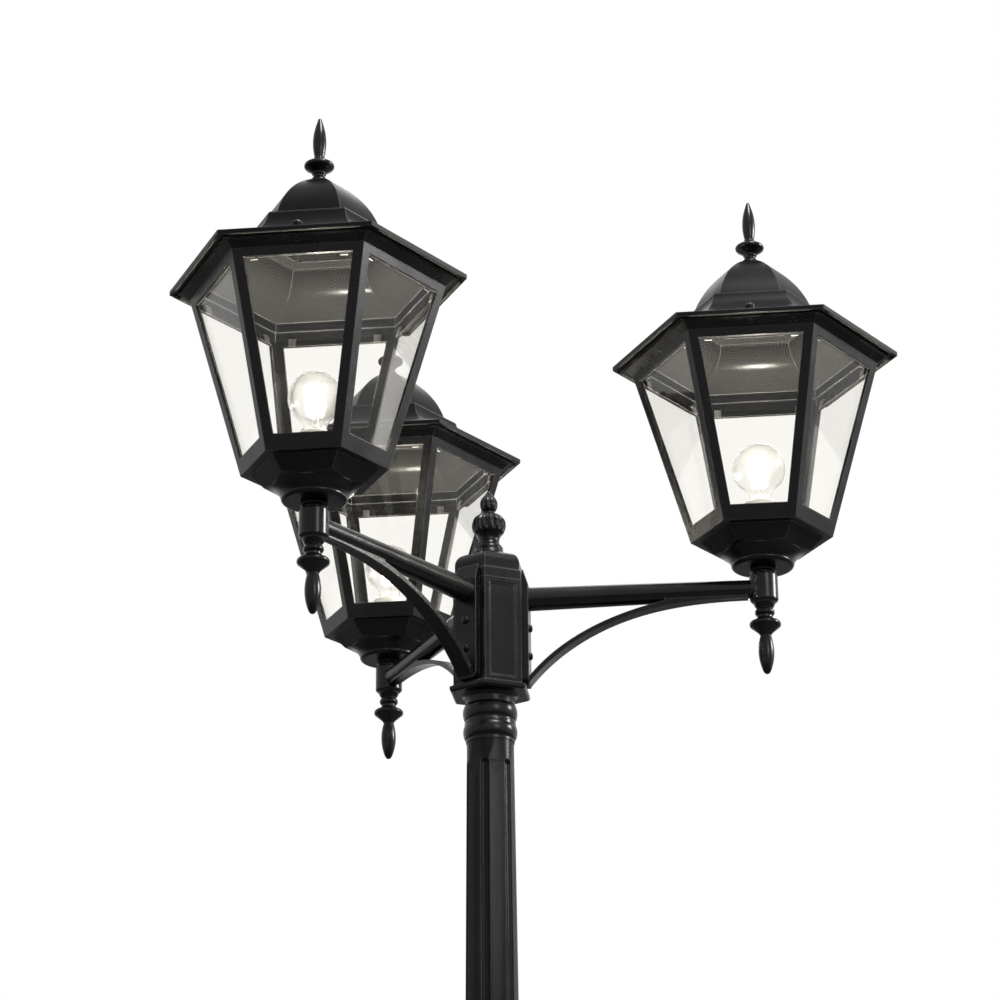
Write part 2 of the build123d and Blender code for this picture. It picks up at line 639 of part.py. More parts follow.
def make_hub_body():
    """Hollow six-sided hub: three panelled faces between the arms' three plain ones."""
    panel_high = HUB_TOP_Z - PANEL_MARGIN
    panel_low = HUB_FOOT_Z + PANEL_MARGIN
    with BuildPart() as hub:
        with BuildSketch(Plane.XY.offset(HUB_FOOT_Z)):
            RegularPolygon(HUB_AP, HEX, major_radius=False, rotation=HEX_HALF_TURN)
        extrude(amount=HUB_TOP_Z - HUB_FOOT_Z)
        add(hexagonal(hub_foot_section(), 2 * HUB_AP, HUB_TURNS))
        with BuildSketch(Plane.XZ):
            with BuildLine():
                low = HUB_BASE_Z
                high = HUB_BASE_Z + FOOT_NECK_H
                Polyline((0, high), (HUB_NECK_R + 5, high))
                SagittaArc((HUB_NECK_R + 5, high), (HUB_NECK_R, low), -1.2)
                Polyline((HUB_NECK_R, low), (0, low), (0, high))
            make_face()
        revolve(axis=Axis.Z)
        with BuildSketch(Plane.XY.offset(HUB_FOOT_Z + HUB_WALL)):
            RegularPolygon(HUB_AP - HUB_WALL, HEX, major_radius=False, rotation=HEX_HALF_TURN)
        extrude(amount=HUB_TOP_Z - HUB_FOOT_Z, mode=Mode.SUBTRACT)
        with Locations((0, 0, HUB_BASE_Z)):
            Cylinder(TENON_R + CLEAR, 2 * (HUB_FOOT_Z + HUB_WALL - HUB_BASE_Z), mode=Mode.SUBTRACT)
        for step in (0, 1):
            width = PANEL_W - 2 * step * PANEL_STEP
            height = panel_high - panel_low - 2 * step * PANEL_STEP
            depth = PANEL_DEPTH * (step + 1)
            with PolarLocations(HUB_AP, 3, start_angle=HUB_TURNS[1]):
                with Locations((0, 0, (panel_high + panel_low) / 2)):
                    Box(2 * depth, width, height, mode=Mode.SUBTRACT)
        for z, radius in [(0, WIRE_R)] + [(level, BOLT_R + CLEAR) for level in BOLT_LEVELS]:
            with PolarLocations(HUB_AP, 3):
                with Locations(Location((0, 0, z), (0, 90, 0))):
                    Cylinder(radius, 3 * HUB_WALL, mode=Mode.SUBTRACT)
    return hub.part


def make_hub_cap():
    """Six-sided cap of the hub: a plain band, a small step and quarter-round shoulders."""
    band = HUB_TOP_Z + HUBCAP_BAND_H
    upper = HUBCAP_AP - HUBCAP_STEP
    shoulder = HUBCAP_TOP_Z - HUBCAP_ROUND
    with BuildSketch() as section:
        with BuildLine():
            Polyline((0, HUB_TOP_Z), (HUBCAP_AP, HUB_TOP_Z), (HUBCAP_AP, band), (upper, band + HUBCAP_STEP))
            Line((upper, band + HUBCAP_STEP), (upper, shoulder))
            JernArc((upper, shoulder), (0, 1), HUBCAP_ROUND, 90)
            Line((upper - HUBCAP_ROUND, HUBCAP_TOP_Z), (0, HUBCAP_TOP_Z))
            mirror(about=Plane.YZ)
        make_face()
    with BuildPart() as cap:
        add(hexagonal(section.sketch, 2 * HUBCAP_AP, HUB_TURNS))
        with BuildSketch(Plane.XY.offset(HUB_TOP_Z)):
            RegularPolygon(HUBCAP_AP - HUBCAP_WALL, HEX, major_radius=False, rotation=HEX_HALF_TURN)
        extrude(amount=shoulder - HUB_TOP_Z, mode=Mode.SUBTRACT)
        with Locations((0, 0, HUBCAP_TOP_Z)):
            Cylinder(CROWN_STUD_R + CLEAR, 4 * HUBCAP_ROUND, mode=Mode.SUBTRACT)
    return cap.part


def make_crown():
    """Hub finial: moulded foot, ball and bud, with its stud."""
    base = HUBCAP_TOP_Z
    with BuildPart() as crown:
        with BuildSketch(Plane.XZ):
            with BuildLine():
                stud = Polyline(
                    (0, base - CROWN_STUD_L), (CROWN_STUD_R, base - CROWN_STUD_L), (CROWN_STUD_R, base), (17.4, base)
                )
                foot = ThreePointArc(stud @ 1, (18.2, base + 3), (16.4, base + 6))
                step = Line(foot @ 1, (16.4, base + 9.5))
                ring = ThreePointArc(step @ 1, (15.6, base + 13), (13.0, base + 15))
                neck = ThreePointArc(ring @ 1, (11.6, base + 20), (13.6, base + 25.6))
                flare = ThreePointArc(neck @ 1, (15.4, base + 28.4), (17.6, base + 31))
                ball = ThreePointArc(flare @ 1, (19.4, base + 43), (9.5, base + 52.2))
                waist = ThreePointArc(ball @ 1, (6.3, base + 54.6), (7.4, base + 57.4))
                bud = ThreePointArc(waist @ 1, (10.5, base + 64), (8.2, base + 71.5))
                Spline(bud @ 1, (4.4, base + 77.4), (0, base + CROWN_L), tangents=[bud % 1, (-1, 0)])
                Line((0, base + CROWN_L), stud @ 0)
            make_face()
        revolve(axis=Axis.Z)
    return crown.part


# ---------------------------------------------------------------- arms, drawn along +X
def make_arm_plate():
    """Flange that bolts the arm to the hub, bevelled at the top."""
    with BuildPart() as plate:
        with BuildSketch(Plane.XZ):
            with BuildLine():
                Polyline(
                    (HUB_AP, PLATE_LOW_Z),
                    (PLATE_FACE, PLATE_LOW_Z),
                    (PLATE_FACE, PLATE_BEVEL_Z),
                    (HUB_AP + 1.5, PLATE_TOP_Z),
                    (HUB_AP, PLATE_TOP_Z),
                    close=True,
                )
            make_face()
        extrude(amount=PLATE_W / 2, both=True)
        low = plate.faces().sort_by(Axis.Z)[0].edges().filter_by(Axis.X)
        fillet(low, PLATE_CORNER)
        for z, radius in [(0, WIRE_R)] + [(level, BOLT_R + CLEAR) for level in BOLT_LEVELS]:
            with Locations(Location((HUB_AP, 0, z), (0, 90, 0))):
                Cylinder(radius, 3 * PLATE_T, mode=Mode.SUBTRACT)
    return plate.part


def tube_solid(inset):
    """Tapered round bar along the arm, inset on the radius."""
    with BuildPart() as bar:
        with BuildSketch(Plane.XY):
            with BuildLine():
                Polyline(
                    (PLATE_FACE, 0),
                    (PLATE_FACE, TUBE_ROOT_R - inset),
                    (TUBE_TIP_X, TUBE_TIP_R - inset),
                    (ARM_REACH, TUBE_TIP_R - inset),
                    (ARM_REACH, 0),
                    close=True,
                )
            make_face()
        revolve(axis=Axis.X)
    return bar.part


def make_arm_tube():
    """Tapered tube of the arm, cut to sit against the round socket."""
    with BuildPart() as tube:
        add(tube_solid(0))
        add(tube_solid(TUBE_WALL), mode=Mode.SUBTRACT)
        with Locations((ARM_REACH, 0, 0)):
            Cylinder(SOCKET_R, 4 * SOCKET_R, mode=Mode.SUBTRACT)
    return tube.part


def make_brace():
    """Curved strap from the foot of the plate up to the tube's underside."""
    root = PLATE_LOW_Z
    tip = TUBE_TIP_X - BRACE_TIP_GAP
    with BuildPart() as brace:
        with BuildSketch(Plane.XZ):
            with BuildLine():
                under = Spline(
                    (PLATE_FACE, root + 1.5),
                    (PLATE_FACE + 0.19 * (tip - PLATE_FACE), root + 0.43 * -root),
                    (PLATE_FACE + 0.45 * (tip - PLATE_FACE), root + 0.73 * -root),
                    (PLATE_FACE + 0.72 * (tip - PLATE_FACE), root + 0.863 * -root),
                    (tip, -TUBE_TIP_R - 0.6),
                )
                over = Spline(
                    (PLATE_FACE, root + 9.5),
                    (PLATE_FACE + 0.19 * (tip - PLATE_FACE), root + 0.49 * -root),
                    (PLATE_FACE + 0.43 * (tip - PLATE_FACE), root + 0.766 * -root),
                    (PLATE_FACE + 0.62 * (tip - PLATE_FACE), -TUBE_ROOT_R + 2.5),
                )
                Polyline(under @ 1, (tip, 0), ((over @ 1).X, 0), over @ 1)
                Line(over @ 0, under @ 0)
            make_face()
        extrude(amount=BRACE_ROOT_W, both=True)
        with BuildSketch(Plane.XY):
            with BuildLine():
                Polyline(
                    (PLATE_FACE, -BRACE_ROOT_W / 2),
                    (tip, -BRACE_TIP_W / 2),
                    (tip, BRACE_TIP_W / 2),
                    (PLATE_FACE, BRACE_ROOT_W / 2),
                    close=True,
                )
            make_face()
        extrude(amount=2 * root, both=True, mode=Mode.INTERSECT)
        add(tube_solid(0), mode=Mode.SUBTRACT)
    return brace.part


def make_arm_bolts():
    """Two dome-head bolts through each arm plate into the hub."""
    with BuildPart() as bolt:
        with BuildSketch(Plane.XY):
            with BuildLine():
                start = HUB_INNER_AP
                shank = Polyline(
                    (start, 0), (start, BOLT_R), (PLATE_FACE, BOLT_R), (PLATE_FACE, BOLT_HEAD_R)
                )
                top = (PLATE_FACE + BOLT_HEAD_H, 0)
                Spline(shank @ 1, top, tangents=[(1, 0), (0, -1)])
                Line(top, shank @ 0)
            make_face()
        revolve(axis=Axis.X)
    with BuildPart() as bolts:
        for level in BOLT_LEVELS:
            with PolarLocations(0, len(HEAD_ANGLES)):
                with Locations((0, 0, level)):
                    add(bolt.part)
    return bolts.part


# ---------------------------------------------------------------- post
def make_shaft():
    """Tapered, fluted, hollow shaft with its tenon into the hub."""
    base = BELL_TOP - ARM_LEVEL
    flute_top = SHAFT_TOP_Z - FLUTE_TOP_DROP
    flute_low = base + FLUTE_LOW_RISE
    top_r = SHAFT_TOP_R + FLUTE_TOP_DROP * SHAFT_TAPER + FLUTE_OUT
    low_r = SHAFT_FOOT_R - FLUTE_LOW_RISE * SHAFT_TAPER + FLUTE_OUT
    with BuildPart() as cutter:
        with BuildSketch(Plane.XZ):
            with BuildLine():
                half = (flute_top - flute_low) / 2 - FLUTE_CUT_R
                Line((0, -half - FLUTE_CUT_R), (0, half + FLUTE_CUT_R))
                JernArc((0, half + FLUTE_CUT_R), (1, 0), FLUTE_CUT_R, -90)
                Line((FLUTE_CUT_R, half), (FLUTE_CUT_R, -half))
                JernArc((FLUTE_CUT_R, -half), (0, -1), FLUTE_CUT_R, -90)
            make_face()
        revolve(axis=Axis.Z)
    lean = -degrees(atan(SHAFT_TAPER))
    with BuildPart() as shaft:
        with BuildSketch(Plane.XZ):
            with BuildLine():
                Polyline(
                    (ROOT_R + CLEAR, base),
                    (SHAFT_FOOT_R, base),
                    (SHAFT_TOP_R, SHAFT_TOP_Z),
                    (TENON_R, SHAFT_TOP_Z),
                    (TENON_R, TENON_TOP_Z),
                    (TENON_R - TENON_WALL, TENON_TOP_Z),
                    (TENON_R - TENON_WALL, SHAFT_TOP_Z - 2 * FLUTE_TOP_DROP),
                    (ROOT_R + CLEAR, ROOT_TOP + 20 - ARM_LEVEL),
                    close=True,
                )
            make_face()
        revolve(axis=Axis.Z)
        with PolarLocations(0, FLUTES, start_angle=FLUTE_TURN):
            with Locations(Location(((top_r + low_r) / 2, 0, (flute_top + flute_low) / 2), (0, lean, 0))):
                add(cutter.part, mode=Mode.SUBTRACT)
    return shaft.part


def make_collar():
    """Turned collar between hub and shaft, with two rings."""
    top = HUB_BASE_Z
    low = SHAFT_TOP_Z
    ring = COLLAR_RING_R
    with BuildPart() as collar:
        with BuildSketch(Plane.XZ):
            with BuildLine():
                bore = TENON_R + CLEAR
                neck = Polyline((bore, top), (HUB_NECK_R, top), (HUB_NECK_R - 0.4, top - 6))
                first = ThreePointArc(neck @ 1, (28.6, top - 7.4), (28.9, top - 8))
                upper = ThreePointArc(first @ 1, (ring, top - 15.8), (28.9, top - 23.6))
                fillet_a = Polyline(upper @ 1, (27.8, top - 24.6), (27.8, top - 26.4), (28.7, top - 27.4))
                fillet_b = Polyline(fillet_a @ 1, (28.7, top - 29.4), (28.9, top - 31))
                lower = ThreePointArc(fillet_b @ 1, (ring - 0.2, top - 38.6), (28.4, top - 46))
                Polyline(lower @ 1, (27.2, top - 47), (27.2, low), (bore, low), (bore, top))
            make_face()
        revolve(axis=Axis.Z)
    return collar.part


# ---------------------------------------------------------------- base, above the ground
def make_base_plate():
    """Hexagonal anchor plate with its three bolt holes and the cable's way."""
    with BuildPart() as base:
        with BuildSketch():
            RegularPolygon(PLATE_AP, HEX, major_radius=False, rotation=HEX_HALF_TURN)
        extrude(amount=PLATE_H)
        chamfer(base.faces().sort_by(Axis.Z)[-1].edges(), PLATE_EDGE)
        Cylinder(ROOT_BORE_R, 4 * PLATE_H, mode=Mode.SUBTRACT)
        with PolarLocations(ANCHOR_PCD / 2, ANCHORS):
            Cylinder(ANCHOR_HOLE_R, 4 * PLATE_H, mode=Mode.SUBTRACT)
    return base.part


def make_root_tube():
    """Upright tube on the anchor plate, which the shaft slides over."""
    with BuildPart() as tube:
        with Locations((0, 0, PLATE_H)):
            Cylinder(ROOT_R, ROOT_TOP - PLATE_H, align=STANDING)
        Cylinder(ROOT_BORE_R, 4 * ROOT_TOP, mode=Mode.SUBTRACT)
    return tube.part


def pedestal_section():
    """Section of the six-sided pedestal."""
    with BuildSketch() as section:
        with BuildLine():
            foot = Polyline((0, PLATE_H), (PEDESTAL_FOOT_AP, PLATE_H), (PEDESTAL_FOOT_AP, PLATE_H + 12))
            cove = SagittaArc(foot @ 1, (PEDESTAL_LOW_AP + 4, PLATE_H + 32), 4)
            step = Polyline(cove @ 1, (PEDESTAL_LOW_AP + 4, PLATE_H + 36), (PEDESTAL_LOW_AP, PLATE_H + 38))
            die = Line(step @ 1, (PEDESTAL_HIGH_AP, PEDESTAL_TOP - 36))
            flare = SagittaArc(die @ 1, (PEDESTAL_CAP_AP, PEDESTAL_TOP - 18), 3)
            cap = Polyline(flare @ 1, (PEDESTAL_CAP_AP, PEDESTAL_TOP - 8))
            SagittaArc(cap @ 1, (PEDESTAL_CAP_AP - 10, PEDESTAL_TOP), -2)
            Line((PEDESTAL_CAP_AP - 10, PEDESTAL_TOP), (0, PEDESTAL_TOP))
            mirror(about=Plane.YZ)
        make_face()
    return section.sketch


def pedestal_layer(low, high, inset):
    """Pyramid slice that follows the pedestal's sloping faces, inset on the apothem."""
    slope = (PEDESTAL_LOW_AP - PEDESTAL_HIGH_AP) / (PEDESTAL_TOP - 74 - PLATE_H)
    with BuildPart() as layer:
        for z in (low, high):
            with BuildSketch(Plane.XY.offset(z)):
                apothem = PEDESTAL_LOW_AP - (z - PLATE_H - 38) * slope - inset
                RegularPolygon(apothem, HEX, major_radius=False, rotation=HEX_HALF_TURN)
        loft()
    return layer.part


def make_pedestal():
    """Cast six-sided pedestal round the foot of the post, with a panel on each face."""
    low = PLATE_H + 58
    high = PEDESTAL_TOP - 54
    with BuildPart() as bars:
        with PolarLocations(0, 3, angular_range=180):
            with Locations((0, 0, (low + high) / 2)):
                Box(4 * PLATE_AP, PEDESTAL_PANEL_W, high - low)
    with BuildPart() as panels:
        add(pedestal_layer(low, high, -PEDESTAL_PANEL))
        add(pedestal_layer(low, high, PEDESTAL_PANEL), mode=Mode.SUBTRACT)
        add(bars.part, mode=Mode.INTERSECT)
    with BuildPart() as pedestal:
        add(hexagonal(pedestal_section(), 2 * PLATE_AP, HUB_TURNS))
        add(panels.part, mode=Mode.SUBTRACT)
        add(pedestal_layer(PLATE_H, PEDESTAL_TOP - 20, PEDESTAL_PANEL + PEDESTAL_WALL), mode=Mode.SUBTRACT)
        Cylinder(ROOT_R + CLEAR, 4 * PEDESTAL_TOP, mode=Mode.SUBTRACT)
    return pedestal.part


def make_bell():
    """Turned bell between pedestal and shaft."""
    low = PEDESTAL_TOP
    shoulder = low + BELL_FOOT_H
    ring_high = BELL_TOP - BELL_NECK_H
    ring_low = ring_high - BELL_RING_H
    bore = ROOT_R + CLEAR
    rim = (SHAFT_FOOT_R + BELL_RIM, BELL_TOP)
    with BuildPart() as bell:
        with BuildSketch(Plane.XZ):
            with BuildLine():
                foot = Polyline((bore, low), (BELL_FOOT_R, low), (BELL_FOOT_R, shoulder))
                cup = SagittaArc(foot @ 1, (BELL_WAIST_R + 1, shoulder + BELL_CUP_H), BELL_CUP_SAG)
                waist = Line(cup @ 1, (BELL_WAIST_R, ring_low))
                ring = ThreePointArc(
                    waist @ 1, (BELL_RING_R, (ring_low + ring_high) / 2), (BELL_WAIST_R, ring_high)
                )
                neck = Polyline(
                    ring @ 1,
                    (BELL_NECK_R, ring_high + 0.1 * BELL_NECK_H),
                    (BELL_NECK_R, ring_high + 0.4 * BELL_NECK_H),
                )
                ThreePointArc(neck @ 1, (BELL_NECK_R + 2, ring_high + 0.65 * BELL_NECK_H), rim)
                Polyline(rim, (bore, BELL_TOP), (bore, low))
            make_face()
        revolve(axis=Axis.Z)
    return bell.part


# ---------------------------------------------------------------- assembly
def on_heads(part):
    """Copies of one lantern's part on all the lanterns."""
    with BuildPart() as copies:
        for angle in HEAD_ANGLES:
            with Locations(Location((0, 0, 0), (0, 0, angle)) * Location((ARM_REACH, 0, 0))):
                add(part)
    return copies.part


def main():
    """Makes every piece once, then writes it at each of its places."""
    head_pieces = {
        "frame": make_cage(),
        "panes": make_panes(),
        "cup": make_cup(),
        "neck": make_neck(),
        "stem": make_stem(),
        "socket": make_socket(),
        "drop_finial": make_drop(),
        "lampholder": make_holder(),
        "bulb_cap": make_bulb_cap(),
        "bulb_glass": make_bulb_glass(),
        "roof": make_roof(),
        "roof_finial": make_tip(),
        "roof_fasteners": make_roof_fasteners(),
    }
    arm_pieces = {"plate": make_arm_plate(), "tube": make_arm_tube(), "brace": make_brace()}
    for number, angle in enumerate(HEAD_ANGLES, start=1):
        turned = Location((0, 0, ARM_LEVEL), (0, 0, angle))
        for name, part in head_pieces.items():
            write(f"head_{number}_{name}", part, turned * Location((ARM_REACH, 0, 0)))
        for name, part in arm_pieces.items():
            write(f"arm_{number}_{name}", part, turned)
    aloft = Location((0, 0, ARM_LEVEL))
    write("pane_clips", on_heads(make_clips()), aloft)
    write("hub_body", make_hub_body(), aloft)
    write("hub_cap", make_hub_cap(), aloft)
    write("hub_finial", make_crown(), aloft)
    write("arm_bolts", make_arm_bolts(), aloft)
    write("shaft", make_shaft(), aloft)
    write("shaft_collar", make_collar(), aloft)
    write("base_plate", make_base_plate())
    write("root_tube", make_root_tube())
    write("pedestal", make_pedestal())
    write("pedestal_bell", make_bell())


main()
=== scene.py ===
"""Triple head lamp post: finishes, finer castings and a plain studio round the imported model.

Everything is in metres, in the model's own frame: +Z up the post, +X along the first arm.
Sizes of new pieces are given in millimetres and turned into metres where they are used.
"""

import logging
from dataclasses import dataclass
from enum import Enum
from math import atan2, cos, pi, radians, sin

import bpy
from mathutils import Euler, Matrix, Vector

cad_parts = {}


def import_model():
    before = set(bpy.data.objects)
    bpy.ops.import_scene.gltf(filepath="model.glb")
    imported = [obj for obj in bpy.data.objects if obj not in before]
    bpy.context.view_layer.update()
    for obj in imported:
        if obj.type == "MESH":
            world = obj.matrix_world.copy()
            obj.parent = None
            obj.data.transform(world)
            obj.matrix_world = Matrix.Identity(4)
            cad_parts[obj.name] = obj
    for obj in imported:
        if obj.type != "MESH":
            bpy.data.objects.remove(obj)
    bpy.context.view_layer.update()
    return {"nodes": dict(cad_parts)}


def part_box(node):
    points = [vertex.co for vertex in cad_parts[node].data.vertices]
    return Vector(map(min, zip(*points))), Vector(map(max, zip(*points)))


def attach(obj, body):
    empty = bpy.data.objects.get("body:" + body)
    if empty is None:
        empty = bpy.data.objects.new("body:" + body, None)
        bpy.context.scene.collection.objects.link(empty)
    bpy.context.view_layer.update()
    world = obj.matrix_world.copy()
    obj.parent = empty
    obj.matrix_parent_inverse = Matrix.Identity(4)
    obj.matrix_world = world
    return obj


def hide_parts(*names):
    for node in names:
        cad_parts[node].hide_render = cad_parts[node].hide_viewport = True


LOG = logging.getLogger("lamp_post")
MM = 0.001
HEADS = (1, 2, 3)
ARM_TURNS = {1: 0.0, 2: 120.0, 3: 240.0}
FRAME_PX = 1000  # side of the photograph's frame
WHITE = (1.0, 1.0, 1.0, 1.0)

Colour = tuple[float, float, float]
Place = tuple[float, float, float]
Outline = list[tuple[float, float]]


class Slot(Enum):
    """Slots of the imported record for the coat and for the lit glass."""

    COAT = "black_coat"
    BULB = "lit_glass"


# ---------------------------------------------------------------- node trees
class Web:
    """Builds a node tree with short calls."""

    def __init__(self, tree: bpy.types.NodeTree) -> None:
        """Keeps the tree.

        Args:
            tree: The node tree to add to.
        """
        self.tree = tree

    def add(self, kind: str, **settings: object) -> bpy.types.Node:
        """Adds a node.

        Args:
            kind: The node's type without its ShaderNode prefix.
            **settings: Attributes to set on the node.

        Returns:
            The new node.
        """
        prefix = "" if kind.startswith("NodeGroup") else "ShaderNode"
        node = self.tree.nodes.new(prefix + kind)
        for name, value in settings.items():
            setattr(node, name, value)
        return node

    def feed(self, source: object, target: bpy.types.NodeSocket) -> None:
        """Links a socket, or sets a plain value, into a target socket.

        Args:
            source: The socket or value.
            target: The socket that takes it.
        """
        if isinstance(source, bpy.types.NodeSocket):
            self.tree.links.new(source, target)
        else:
            target.default_value = source

    def math(self, operation: str, *values: object, clamp: bool = False) -> bpy.types.NodeSocket:
        """Adds a Math node on the given sockets or numbers.

        Args:
            operation: The node's operation.
            *values: Its inputs in order.
            clamp: Whether the result is held between 0 and 1.

        Returns:
            The result's socket.
        """
        node = self.add("Math", operation=operation, use_clamp=clamp)
        for value, socket in zip(values, node.inputs):
            self.feed(value, socket)
        return node.outputs[0]

    def dot(self, one: object, other: object) -> bpy.types.NodeSocket:
        """Adds the dot product of two vectors.

        Args:
            one: The first vector's socket.
            other: The second vector's socket.

        Returns:
            The product's socket.
        """
        node = self.add("VectorMath", operation="DOT_PRODUCT")
        self.feed(one, node.inputs[0])
        self.feed(other, node.inputs[1])
        return node.outputs["Value"]

    def noise(self, vector: object, scale: object, detail: float = 3.0) -> bpy.types.NodeSocket:
        """Adds a noise texture.

        Args:
            vector: Where it is read.
            scale: How fine it is, as a number or a socket.
            detail: Its layers of finer noise.

        Returns:
            The noise's value socket.
        """
        node = self.add("TexNoise")
        self.feed(vector, node.inputs["Vector"])
        self.feed(scale, node.inputs["Scale"])
        node.inputs["Detail"].default_value = detail
        return node.outputs["Fac"]

    def ramp(self, value: object, low: float, high: float, to_low: float = 0.0,
             to_high: float = 1.0) -> bpy.types.NodeSocket:
        """Maps a value's range onto another, held at its ends.

        Args:
            value: The socket to map.
            low: The value that gives to_low.
            high: The value that gives to_high.
            to_low: Result at low.
            to_high: Result at high.

        Returns:
            The result's socket.
        """
        node = self.add("MapRange")
        self.feed(value, node.inputs["Value"])
        for name, number in (("From Min", low), ("From Max", high), ("To Min", to_low), ("To Max", to_high)):
            node.inputs[name].default_value = number
        return node.outputs[0]

    def blend(self, share: object, one: object, other: object) -> bpy.types.NodeSocket:
        """Adds the colour between two colours.

        Args:
            share: How much of the second colour there is.
            one: The first colour.
            other: The second colour.

        Returns:
            The colour's socket.
        """
        node = self.add("Mix", data_type="RGBA")
        self.feed(share, node.inputs["Factor"])
        self.feed(one, node.inputs["A"])
        self.feed(other, node.inputs["B"])
        return node.outputs["Result"]


@dataclass(frozen=True)
class Port:
    """One named socket of a node group."""

    name: str
    kind: str
    value: object = None


def new_group(name: str, inputs: list[Port], outputs: list[Port]) -> tuple[Web, dict, dict]:
    """Starts a shader node group with named sockets.

    Args:
        name: The group's name.
        inputs: Its input sockets.
        outputs: Its output sockets.

    Returns:
        The group's web, its inputs' sockets by name and its outputs' sockets by name.
    """
    tree = bpy.data.node_groups.new(name, "ShaderNodeTree")
    for ports, side in ((inputs, "INPUT"), (outputs, "OUTPUT")):
        for port in ports:
            kind = f"NodeSocket{port.kind}"
            socket = tree.interface.new_socket(name=port.name, in_out=side, socket_type=kind)
            if port.value is not None:
                socket.default_value = port.value
    web = Web(tree)
    entry = web.add("NodeGroupInput")
    leave = web.add("NodeGroupOutput")
    given = {port.name: entry.outputs[port.name] for port in inputs}
    taken = {port.name: leave.inputs[port.name] for port in outputs}
    return web, given, taken


def make_edge_group(flat: float = 0.995, turned_away: float = 0.86) -> bpy.types.NodeTree:
    """Group that rounds a casting's edges and tells where they are.

    Args:
        flat: Cosine of the rounded normal's lean at which an edge starts.
        turned_away: Cosine of its lean in the middle of an edge.

    Returns:
        The group, with outputs Normal and Edge.
    """
    web, ins, outs = new_group(
        "cast_edges",
        [Port("Radius", "Float", 1.0 * MM)],
        [Port("Normal", "Vector"), Port("Edge", "Float")],
    )
    bevel = web.add("Bevel", samples=4)
    web.feed(ins["Radius"], bevel.inputs["Radius"])
    surface = web.add("NewGeometry")
    turned = web.dot(bevel.outputs["Normal"], surface.outputs["True Normal"])
    web.feed(bevel.outputs["Normal"], outs["Normal"])
    web.feed(web.ramp(turned, flat, turned_away), outs["Edge"])
    return web.tree


def make_grain_group() -> bpy.types.NodeTree:
    """Group for the powder-coated casting: fine grain, soft mottling and long streaks.

    Returns:
        The group, with outputs Height, Mottle and Streak.
    """
    web, ins, outs = new_group(
        "cast_grain",
        [
            Port("Vector", "Vector"),
            Port("Grain Scale", "Float", 900.0),
            Port("Streak Stretch", "Vector", (1, 1, 1)),
        ],
        [Port("Height", "Float"), Port("Mottle", "Float"), Port("Streak", "Float")],
    )
    fine = web.noise(ins["Vector"], ins["Grain Scale"], 2.0)
    lump_scale, lump_height = 0.17, 0.6
    lumps = web.noise(ins["Vector"], web.math("MULTIPLY", ins["Grain Scale"], lump_scale), 2.0)
    web.feed(web.math("MULTIPLY_ADD", lumps, lump_height, fine), outs["Height"])
    mottle_scale, streak_scale = 26.0, 150.0
    web.feed(web.ramp(web.noise(ins["Vector"], mottle_scale, 4.0), 0.3, 0.72), outs["Mottle"])
    stretch = web.add("VectorMath", operation="MULTIPLY")
    web.feed(ins["Vector"], stretch.inputs[0])
    web.feed(ins["Streak Stretch"], stretch.inputs[1])
    web.feed(web.ramp(web.noise(stretch.outputs[0], streak_scale, 3.0), 0.42, 0.75), outs["Streak"])
    return web.tree


# ---------------------------------------------------------------- finishes
class Finish:
    """What every finish shares: a fresh material with its web and Principled shader."""

    def start(self, name: str) -> tuple[bpy.types.Material, Web, bpy.types.Node]:
        """Makes an empty node material.

        Args:
            name: The material's name.

        Returns:
            The material, its web and its Principled shader, linked to the output.
        """
        material = bpy.data.materials.new(name)
        material.use_nodes = True
        web = Web(material.node_tree)
        material.node_tree.nodes.clear()
        shader = web.add("BsdfPrincipled")
        output = web.add("OutputMaterial")
        web.feed(shader.outputs["BSDF"], output.inputs["Surface"])
        return material, web, shader

    def place(self, web: Web, turn: float = 0.0) -> bpy.types.NodeSocket:
        """Adds a pattern's coordinates, which are the model's own.

        Args:
            web: The web to add to.
            turn: How far they are turned about the post, in degrees.

        Returns:
            The coordinates' socket.
        """
        spot = web.add("TexCoord")
        mapping = web.add("Mapping", vector_type="POINT")
        mapping.inputs["Rotation"].default_value = (0.0, 0.0, -radians(turn))
        web.feed(spot.outputs["Object"], mapping.inputs["Vector"])
        return mapping.outputs["Vector"]


